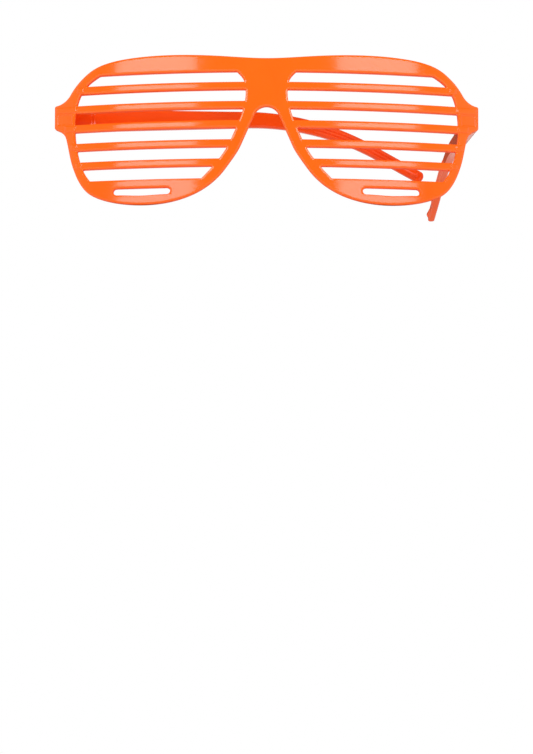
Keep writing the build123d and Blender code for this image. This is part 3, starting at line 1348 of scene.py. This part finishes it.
    def windows(self) -> list[Array]:
        """Draws the gaps above, between and below the slats, for both lenses.

        Returns:
            Their loops.
        """
        temple = self.window_side(self.temple_side_shares)
        nose = self.window_side(self.nose_side_shares)[::-1]
        slats = [self.slat_top(number) for number in range(self.slat_count)]
        tops = [self.window_top, *(top - self.slat_height for top in slats)]
        loops = []
        for top, bottom in zip(tops, [*slats, self.window_bottom]):
            level = np.linspace(bottom, top, self.slat_end_steps)
            outer, inner = (
                np.column_stack([np.interp(level, side[:, 1], side[:, 0]), level])
                for side in (temple, nose)
            )
            runs = [outer, line(outer[-1], inner[-1]), inner[::-1], line(inner[0], outer[0])]
            # Only the first window, under the brow, has one wide corner.
            by_brow = self.corner if loops else self.brow_corner
            loops.append(closed_loop(runs, [by_brow, self.corner, self.corner, self.corner]))
        return both_sides(loops)

    def crescent_slots(self) -> list[Array]:
        """Draws the slots below the lenses.

        Returns:
            Their loops.
        """
        top = self.window_bottom - self.slot_top_drop
        r = self.slot_depth * self.slot_end_share
        middle = self.slot_middle_share * self.half_width
        inner, outer = middle - self.slot_length / 2, middle + self.slot_length / 2
        low, bottom = top - 2 * r, top - self.slot_depth
        sag = [(outer - r, low), (middle, bottom), (inner + r, low)]
        runs = [
            line((inner + r, top), (outer - r, top)),
            arc_path((outer - r, top), (outer, top - r), (outer - r, low)),
            smooth_path(sag, (-1, 0), (-1, 0)),
            arc_path((inner + r, low), (inner, top - r), (inner + r, top)),
        ]
        return both_sides([closed_loop(runs, 0.0, step=self.slot_step)])

    def panels(self) -> list[Pocket]:
        """Draws the sunk panel of each end piece, between the second and third slat bands.

        Returns:
            The panels.
        """
        bottom, top = self.slat_top(2), self.slat_top(1) - self.slat_height
        inner, outer = self.panel_inner, self.panel_outer
        corners = [(inner, bottom), (outer, bottom), (outer, top), (inner, top)]
        runs = [line(a, b) for a, b in zip(corners, corners[1:] + corners[:1])]
        loops = both_sides([closed_loop(runs, self.corner)])
        return [Pocket(loop, self.panel_depth, self.panel_blend) for loop in loops]

    def band_lines(self) -> list[Array]:
        """Lays a line for each slat band, from its slat over the rim to the edge.

        Each band rises steeply out of its slat and sinks again where the edge's bevel starts.

        Returns:
            Lines of (x, depth of the bar's middle, z).
        """
        temple = self.window_side(self.temple_side_shares)
        outline = self.outline()
        half = self.slat_height / 2
        sunk = self.band_depth / 2 + self.edge.radius
        proud = self.band_depth / 2 - self.band_proud
        lines = []
        for number in range(self.slat_count):
            middle = self.slat_top(number) - half
            window = float(np.interp(middle, temple[:, 1], temple[:, 0]))
            edge = min(self.edge_at(outline, level) for level in (middle - half, middle + half))
            reach = edge - self.edge.bevel - self.edge.radius / 2
            start, sinking = window - self.band_lead, reach - self.edge.bevel * 2
            x = np.linspace(start, reach, self.band_steps)
            up = np.clip((x - start) / (window - start), 0, 1)
            over = np.clip((x - sinking) / (reach - sinking), 0, 1)
            y = proud + (sunk - proud) * ((1 - up**2 * (3 - 2 * up)) + over**2)
            z = np.full(len(x), middle)
            lines += [np.column_stack([side.value * x, y, z]) for side in Side]
        return lines

    @staticmethod
    def edge_at(outline: Array, level: float) -> float:
        """Finds how far out the outline reaches at a height.

        Args:
            outline: The front's outer loop.
            level: The height.

        Returns:
            The distance from the middle.
        """
        following = np.roll(outline, -1, axis=0)
        crossed = (outline[:, 1] - level) * (following[:, 1] - level) <= 0
        here, there = outline[crossed], following[crossed]
        rise = there[:, 1] - here[:, 1]
        share = (level - here[:, 1]) / np.where(rise == 0, 1, rise)
        return float(np.max(here[:, 0] + share * (there[:, 0] - here[:, 0])))

    def build(self, materials: Materials) -> list[bpy.types.Object]:
        """Makes every piece of the front.

        Args:
            materials: The scene's materials.

        Returns:
            The pieces, the plate first.
        """
        plate = Slab(
            outline=self.outline(),
            thickness=self.thickness,
            front=self.edge,
            back_round=self.back_round,
            holes=self.windows() + self.crescent_slots(),
            pockets=self.panels(),
        ).build("front_plate", self.on_face)
        bands = grown(
            "front_slat_bands",
            self.band_lines(),
            slat_band_tree(),
            {
                "Face radius": self.face_radius * MM,
                "Face centre": self.centre_y * MM,
                "Band height": self.band_height * MM,
                "Band depth": self.band_depth * MM,
                "Corner": self.band_corner * MM,
                "Material": materials.front,
            },
        )
        pieces = [plate, bands, *self.nose_pads(), *self.hinge.lugs()]
        for piece in pieces:
            dress(piece, materials.front, materials.front_satin, "front")
            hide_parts("front_frame")
        return pieces

    def beside_nose(self, flat: Array, sign: int) -> Array:
        """Stands a nose pad behind its flank, flaring away from the nose.

        Args:
            flat: Rows of (u, v, depth).
            sign: The side, along X.

        Returns:
            Rows of (x, y, z).
        """
        out = self.flank_out
        share = flat[:, 2] / self.pad_depth
        x = sign * (flat[:, 0] + self.pad_flare * out[0] * share)
        y = flat[:, 2] + self.thickness / 4
        return np.column_stack([x, y, flat[:, 1] + self.pad_flare * out[1] * share])

    def nose_pads(self) -> list[bpy.types.Object]:
        """Makes the two fins behind the flanks of the nose arch.

        Returns:
            Their objects.
        """
        down, out = self.flank_down, self.flank_out
        r = self.pad_width / 2
        middle = self.on_arch(90 - self.nose_slope_deg) + self.nose_flank / 2 * down
        centre = middle + (self.pad_aside + r) * out
        reach = (self.pad_length / 2 - r) * down
        first, last = centre - reach, centre + reach
        runs = [
            line(first - r * out, last - r * out),
            arc_path(last - r * out, last + r * down, last + r * out),
            line(last + r * out, first + r * out),
            arc_path(first + r * out, first - r * down, first - r * out),
        ]
        loop = closed_loop(runs, 0.0, step=self.pad_step)
        depth = self.pad_depth + self.thickness / 4
        slab = Slab(loop, depth, self.pad_root_edge, self.pad_round, grid=FINE_GRID)
        return [
            slab.build(f"front_nose_pad_{side.word}", partial(self.beside_nose, sign=side.value))
            for side in Side
        ]


@dataclass
class Temple:
    """One arm: a lofted body with a hook for the ear, and the tongue that turns on the pin.

    Its sizes run along the arm from the pin, outward, and up.
    """

    side: Side
    rest_deg: float
    hinge: Hinge
    outer_reach: float = 4.8
    root: float = 0.6
    root_thickness: float = 2.7
    thickness: float = 3.3
    tip_thickness: float = 2.6
    relief: float = 7.9
    straight: float = 63.0
    start_top: float = 2.25
    start_bottom: float = -5.75
    end_top: float = 1.85
    end_bottom: float = -3.8
    bend_radius: float = 90.0
    bend_deg: float = 29.8
    hook_height: float = 4.0
    tail: float = 17.3
    tip_round: float = 1.6
    tip_sweep: float = 0.47
    tip_steps: int = 9
    bow_start: float = 45.0
    tip_bow: float = 5.0
    edge: float = 0.75
    edge_steps: int = 4
    edge_height_share: float = 0.6
    edge_thickness_share: float = 0.45
    side_shrink: float = 0.45
    even_from: float = 16.0
    even_step: float = 2.4
    even_clear: float = 0.5
    shading_weight: int = 80
    tongue_overlap: float = 0.3
    line_steps: int = 40
    rib_count: int = 3
    rib_pitch: float = 1.15
    rib_half_height: float = 0.54
    rib_half_depth: float = 0.4
    rib_proud: float = 0.34
    rib_tail: float = 8.0
    pad_length: float = 6.4
    pad_tail: float = 0.4
    pad_half_height: float = 1.3
    pad_half_depth: float = 0.85
    pad_start_proud: float = -0.1
    pad_end_proud: float = 0.95
    pad_fade: float = 0.12

    # Distance past the root's end, and how much the section shrinks there.
    root_stations = ((0.0, 0.25), (0.06, 0.1), (0.2, 0.0))
    root_marks = (1.0, 3.0, 5.0, 7.0)
    relief_marks = (0.0, 0.3, 0.6)
    shank_marks = (9.5, 12.0)

    @property
    def node(self) -> str:
        """The temple's name as the frame spells it, for its node and its body."""
        return f"{self.side.word}_temple"

    @property
    def bend(self) -> float:
        """How far the arm turns down at the hook, in radians."""
        return math.radians(self.bend_deg)

    @property
    def run_end(self) -> float:
        """Length of the arm from the pin to where its tip starts to round."""
        return self.straight + self.bend_radius * self.bend + self.tail

    @property
    def tip_s(self) -> float:
        """How far the tip is from the pin along the arm."""
        bend_end = self.straight + self.bend_radius * math.sin(self.bend)
        return bend_end + (self.tail + self.hook_height / 2) * math.cos(self.bend)

    @property
    def outward(self) -> tuple[float, float, float]:
        """The arm's outward direction at rest."""
        angle = math.radians(self.rest_deg)
        return (self.side.value * math.sin(angle), math.cos(angle), 0.0)

    def to_world(self, local: Array) -> Array:
        """Places points of the arm at the hinge, at the rest angle.

        Args:
            local: Rows of (along the arm, outward, up).

        Returns:
            Rows of (x, y, z).
        """
        angle = math.radians(self.rest_deg)
        sign = self.side.value
        reach = np.array([-sign * math.cos(angle), math.sin(angle), 0])
        pin = np.array([sign * self.hinge.pin_x, self.hinge.pin_y, 0])
        out, up = np.array(self.outward), np.array([0, 0, 1])
        return pin + local[:, :1] * reach + local[:, 1:2] * out + local[:, 2:] * up

    def bow_share(self, s: float) -> float:
        """Returns how far s lies along the bowed part of the arm, from 0 to 1 at the tip."""
        return max((s - self.bow_start) / (self.tip_s - self.bow_start), 0.0)

    def sides(self, s: float) -> tuple[float, float]:
        """Finds the arm's two sides, with the relief by the hinge and the bow of the hook.

        Args:
            s: Distance from the pin along the arm.

        Returns:
            How far out its outer and its inner side are.
        """
        outer = self.outer_reach - self.tip_bow * self.bow_share(s) ** 2
        step = self.thickness - self.root_thickness
        early = self.root_thickness + min(max(s - self.relief, 0), step)
        late = (self.tip_thickness - self.thickness) * min(self.bow_share(s), 1)
        return outer, outer - (early + late)

    def centreline(self, run: float) -> tuple[float, float, float, float]:
        """Follows the middle line of the arm: straight, round the bend and down the tail.

        Args:
            run: Distance from the pin, measured along the line.

        Returns:
            Distance along the arm, height, downward slope in radians, and half height there.
        """
        if run <= self.straight:
            share = (run + self.root) / (self.straight + self.root)
            top = self.start_top + (self.end_top - self.start_top) * share
            bottom = self.start_bottom + (self.end_bottom - self.start_bottom) * share
            return run, (top + bottom) / 2, 0.0, (top - bottom) / 2
        start_half = (self.end_top - self.end_bottom) / 2
        turned = min((run - self.straight) / self.bend_radius, self.bend)
        past = max(0.0, run - self.straight - self.bend_radius * self.bend)
        s = self.straight + self.bend_radius * math.sin(turned) + past * math.cos(turned)
        drop = self.bend_radius * (1 - math.cos(turned)) + past * math.sin(turned)
        half = start_half + (self.hook_height / 2 - start_half) * turned / self.bend
        return s, (self.end_top + self.end_bottom) / 2 - drop, turned, half

    def stations(self) -> list[tuple[float, float]]:
        """Lists where the arm has its sections.

        Returns:
            Distance from the pin along the middle line, and how much the section shrinks.
        """
        found = [(past - self.root, shrink) for past, shrink in self.root_stations]
        marks = [*self.root_marks, *(self.relief + past for past in self.relief_marks)]
        marks += self.shank_marks
        marks += np.arange(self.even_from, self.run_end - self.even_clear, self.even_step).tolist()
        found += [(mark, 0.0) for mark in marks]
        half = self.hook_height / 2
        for turn in np.linspace(0, self.tip_sweep * math.pi, self.tip_steps):
            past = self.tip_round * math.sin(turn)
            found.append((self.run_end + past, half * (1 - math.cos(turn))))
        return found

    def section(self, run: float, shrink: float) -> Array:
        """Draws one rounded section of the arm.

        Args:
            run: Distance from the pin along the middle line.
            shrink: How much its half height shrinks, as it does at the arm's two ends.

        Returns:
            Rows of (along the arm, outward, up).
        """
        s, z, slope, half = self.centreline(run)
        top = half - shrink
        outer, inner = self.sides(s)
        outer -= shrink * self.side_shrink
        inner += shrink * self.side_shrink
        most = (top * self.edge_height_share, (outer - inner) * self.edge_thickness_share)
        r = min(self.edge, *most)
        ring = []
        corners = ((outer, top), (inner, top), (inner, -top), (outer, -top))
        for k, (out, up) in enumerate(corners):
            centre = (out - math.copysign(r, out - (outer + inner) / 2), up - math.copysign(r, up))
            for step in range(self.edge_steps + 1):
                turn = math.radians(90 * k + 90 * step / self.edge_steps)
                ring.append((centre[0] + r * math.cos(turn), centre[1] + r * math.sin(turn)))
        return np.array(
            [(s + up * math.sin(slope), out, z + up * math.cos(slope)) for out, up in ring]
        )

    def body(self) -> bpy.types.Object:
        """Lofts the arm through its sections.

        Returns:
            Its object.
        """
        rings = [self.section(run, shrink) for run, shrink in self.stations()]
        count = len(rings[0])
        last = (len(rings) - 1) * count
        faces = []
        for first in range(0, last, count):
            for n in range(count):
                m = (n + 1) % count
                faces.append([first + n, first + m, first + count + m, first + count + n])
        faces += [list(range(count))[::-1], list(range(last, last + count))]
        made = mesh_object(f"{self.node}_arm", self.to_world(np.concatenate(rings)), faces)
        weigh = made.modifiers.new("even_shading", "WEIGHTED_NORMAL")
        weigh.keep_sharp = True
        weigh.weight = self.shading_weight
        return made

    def between_lugs(self, flat: Array) -> Array:
        """Stands the tongue between its lugs, its front face up."""
        top = self.hinge.middle_z + self.hinge.tongue_height / 2
        return self.to_world(np.column_stack([flat[:, 0], flat[:, 1], top - flat[:, 2]]))

    def tongue(self) -> bpy.types.Object:
        """Makes the knuckle round the pin and the block that joins it to the arm.

        Returns:
            Its object.
        """
        r, root = self.hinge.radius, -self.root
        chord = math.sqrt(r**2 - root**2)
        top = self.outer_reach - self.root_thickness + self.tongue_overlap
        runs = [
            arc_path((r, 0), (0, -r), (root, -chord)),
            arc_path((root, -chord), (-r, 0), (root, chord)),
            line((root, chord), (root, top)),
            line((root, top), (r, top)),
            line((r, top), (r, 0)),
        ]
        slab = self.hinge.knuckle(runs, self.hinge.tongue_height, self.hinge.tongue_play)
        return slab.build(f"{self.node}_tongue", self.between_lugs)

    def hook_line(self, first: float, last: float, sunk: tuple[float, float]) -> list[Array]:
        """Lays the middle line of the hook's inner face.

        Args:
            first: Where it starts, from the pin along the arm's middle line.
            last: Where it ends.
            sunk: How deep in the arm it lies at its start and at its end.

        Returns:
            The line, alone in a list.
        """
        points = []
        runs = np.linspace(first, last, self.line_steps)
        for run, depth in zip(runs, np.linspace(*sunk, self.line_steps)):
            s, z, _, _ = self.centreline(float(run))
            points.append((s, self.sides(s)[1] + depth, z))
        return [self.to_world(np.array(points))]

    def grip(self, tree: bpy.types.NodeTree, materials: Materials) -> list[bpy.types.Object]:
        """Lays the ribs on the inner face of the hook, and the finger pad at its tip.

        Args:
            tree: The node group for ribs.
            materials: The scene's materials.

        Returns:
            The ribs and the pad.
        """
        level = self.rib_half_depth - self.rib_proud
        from_run = self.straight + self.bend_radius * self.bend / 2
        # The ribs and the pad take temple materials, whose colours carry painted shade.
        ribs = grown(
            f"{self.node}_ribs",
            self.hook_line(from_run, self.run_end - self.rib_tail, (level, level)),
            tree,
            {
                "Count": self.rib_count,
                "Pitch": self.rib_pitch * MM,
                "Half height": self.rib_half_height * MM,
                "Half depth": self.rib_half_depth * MM,
                "Outward": self.outward,
                "Material": materials.grip,
            },
        )
        last = self.run_end - self.pad_tail
        depths = (
            self.pad_half_depth - self.pad_start_proud,
            self.pad_half_depth - self.pad_end_proud,
        )
        pad = grown(
            f"{self.node}_tip_pad",
            self.hook_line(last - self.pad_length, last, depths),
            tree,
            {
                "Count": 1,
                "Half height": self.pad_half_height * MM,
                "Half depth": self.pad_half_depth * MM,
                "Fade": self.pad_fade,
                "Outward": self.outward,
                "Material": materials.temple,
            },
        )
        return [ribs, pad]

    def build(self, materials: Materials, rib_tree: bpy.types.NodeTree) -> list[bpy.types.Object]:
        """Makes every piece of the temple.

        Args:
            materials: The scene's materials.
            rib_tree: The node group for the grip ribs.

        Returns:
            The pieces, the arm first.
        """
        pieces = [self.body(), self.tongue(), *self.grip(rib_tree, materials)]
        # The temple materials carry painted shade in their colours.
        for piece in pieces:
            dress(piece, materials.temple, materials.temple_shaded_satin, self.node)
            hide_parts(self.node)
        return pieces


@dataclass
class Studio:
    """The photograph's camera, its two large soft lights and the white around."""

    image_width: int = 533
    image_height: int = 754
    saddle_px: tuple[float, float] = (266.62, 105.95)
    saddle_mm: tuple[float, float, float] = (0.0, -1.5, 0.0)
    object_width_px: float = 423.7
    widest_mm: tuple[float, float, float] = (74.0, 13.5, -1.7)
    distance_mm: float = 690.0
    elevation_deg: float = -9.8
    roll_deg: float = 0.1
    sensor_mm: float = 36.0
    fit_rounds: int = 12
    light_distance_mm: float = 1000.0
    light_azimuth_deg: float = 28.3
    light_elevation_deg: float = 17.0
    light_size_mm: tuple[float, float] = (358.0, 510.0)
    light_radiance: float = 4.9
    ambient: float = 0.78
    mirrored_front: float = 0.06
    mirrored_side: float = 0.8
    side_from: float = 0.6
    side_to: float = 0.85
    floor_gap_mm: float = 0.4
    floor_reach_mm: float = 3000.0
    floor_colour: tuple[float, float, float] = (0.86, 0.86, 0.85)

    @staticmethod
    def toward(azimuth: float, elevation: float) -> Vector:
        """Returns the unit direction out to an azimuth, 0 being the front, and an elevation."""
        level = math.cos(elevation)
        return Vector((math.sin(azimuth) * level, -math.cos(azimuth) * level, math.sin(elevation)))

    def aim(self, focal_px: float) -> Matrix:
        """Turns the camera so that the saddle of the nose arch falls on its pixel.

        Args:
            focal_px: The camera's focal length.

        Returns:
            The camera's rotation.
        """
        roll = math.radians(self.roll_deg)
        right_px = self.saddle_px[0] - self.image_width / 2
        up_px = self.image_height / 2 - self.saddle_px[1]
        level_right = math.cos(roll) * right_px - math.sin(roll) * up_px
        level_up = math.sin(roll) * right_px + math.cos(roll) * up_px
        pitch = -math.radians(self.elevation_deg) - math.atan(level_up / focal_px)
        yaw = math.atan(level_right / focal_px)
        return (
            Matrix.Rotation(yaw, 3, "Z")
            @ Matrix.Rotation(math.pi / 2 + pitch, 3, "X")
            @ Matrix.Rotation(roll, 3, "Z")
        )

    def camera(self) -> None:
        """Makes the camera, its lens as long as the photograph's width of the object asks."""
        back = self.toward(0.0, math.radians(self.elevation_deg))
        stand = Vector(self.saddle_mm) + back * self.distance_mm
        x, *rest = self.widest_mm
        focal_px = self.object_width_px * self.distance_mm / (2 * x)
        for _ in range(self.fit_rounds):
            level = self.aim(focal_px).transposed()
            right, left = (level @ (Vector((side.value * x, *rest)) - stand) for side in Side)
            spread = focal_px * left.x / -left.z - focal_px * right.x / -right.z
            focal_px *= self.object_width_px / spread
        data = bpy.data.cameras.new("photo_camera")
        data.sensor_width = self.sensor_mm
        data.lens = focal_px * self.sensor_mm / max(self.image_width, self.image_height)
        made = linked("photo_camera", data)
        made.location = stand * MM
        made.rotation_euler = self.aim(focal_px).to_euler()
        bpy.context.scene.camera = made

    def softboxes(self) -> None:
        """Makes a tall soft light on each side, as far out as the photo's reflections say."""
        width, height = (size * MM for size in self.light_size_mm)
        for side in Side:
            azimuth = math.radians(self.light_azimuth_deg) * side.value
            away = self.toward(azimuth, math.radians(self.light_elevation_deg))
            data = bpy.data.lights.new(f"softbox_{side.word}", "AREA")
            data.shape = "RECTANGLE"
            data.size = width
            data.size_y = height
            data.energy = self.light_radiance * math.pi * width * height
            made = linked(data.name, data)
            made.location = away * self.light_distance_mm * MM
            made.rotation_euler = away.to_track_quat("Z", "Y").to_euler()

    def surroundings(self) -> None:
        """Makes the world: white to the camera, a little dimmer as a light on the object.

        In the object's gloss it is dim in front and behind and bright at the sides.
        """
        world = bpy.data.worlds.new("white_studio")
        bpy.context.scene.world = world
        world.use_nodes = True
        world.node_tree.nodes.clear()
        g = Group(world.node_tree)
        path = g.node("ShaderNodeLightPath").outputs
        unseen = g.math("SUBTRACT", 1.0, path["Is Camera Ray"])
        gloss = g.math("MULTIPLY", path["Is Glossy Ray"], unseen)
        soft = g.math("SUBTRACT", unseen, gloss)
        direction = g.node("ShaderNodeTexCoord").outputs["Generated"]
        walls = g.out(
            "ShaderNodeMapRange",
            {
                "Value": g.math("ABSOLUTE", g.out("ShaderNodeSeparateXYZ", {0: direction})),
                "From Min": self.side_from,
                "From Max": self.side_to,
                "To Min": self.mirrored_front,
                "To Max": self.mirrored_side,
            },
            interpolation_type="SMOOTHSTEP",
        )
        lamp = g.math("MULTIPLY", soft, self.ambient)
        mirrored = g.math("MULTIPLY", gloss, walls)
        level = g.math("ADD", path["Is Camera Ray"], g.math("ADD", lamp, mirrored))
        sky = g.out("ShaderNodeBackground", {"Color": (1, 1, 1, 1), "Strength": level})
        g.node("ShaderNodeOutputWorld", {0: sky})

    def floor(self, level: float) -> None:
        """Lays a pale floor that is clear from below, where the photograph's camera stands.

        Args:
            level: Its height in metres.
        """
        r = self.floor_reach_mm * MM
        mesh = bpy.data.meshes.new("floor")
        corners = [(-r, -r, level), (r, -r, level), (r, r, level), (-r, r, level)]
        mesh.from_pydata(corners, [], [(0, 1, 2, 3)])
        made = linked("floor", mesh)
        material, g = Materials.blank("pale_floor")
        pale = g.out("ShaderNodeBsdfDiffuse", {"Color": (*self.floor_colour, 1)})
        clear = g.out("ShaderNodeBsdfTransparent")
        under = g.node("ShaderNodeNewGeometry").outputs["Backfacing"]
        mix = g.out("ShaderNodeMixShader", {0: under, 1: pale, 2: clear})
        g.node("ShaderNodeOutputMaterial", {0: mix})
        mesh.materials.append(material)
        made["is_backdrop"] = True

    def build(self, floor_level: float) -> None:
        """Sets up the whole studio.

        Args:
            floor_level: Height of the object's lowest point, in metres.
        """
        self.camera()
        self.softboxes()
        self.surroundings()
        self.floor(floor_level - self.floor_gap_mm * MM)


def main() -> None:
    """Builds the object's looks and the studio, its floor set under the imported model's lowest
    point.
    """
    logging.basicConfig(level=logging.INFO)
    cad_box = [list(corner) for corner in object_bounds()]
    bpy.context.scene.view_settings.view_transform = "Standard"
    materials = Materials()
    front = FrontFrame()
    pieces = front.build(materials)
    rib_tree = grip_rib_tree()
    for side, rest_deg in ((Side.RIGHT, 2.0), (Side.LEFT, 90.0)):
        pieces += Temple(side, rest_deg, front.hinge).build(materials, rib_tree)
    pieces += front.hinge.pins(materials.steel)
    for piece in pieces:
        log.info("dressed %s", piece.name)
    Studio().build(cad_box[0][2])


if __name__ == "__main__":
    main()
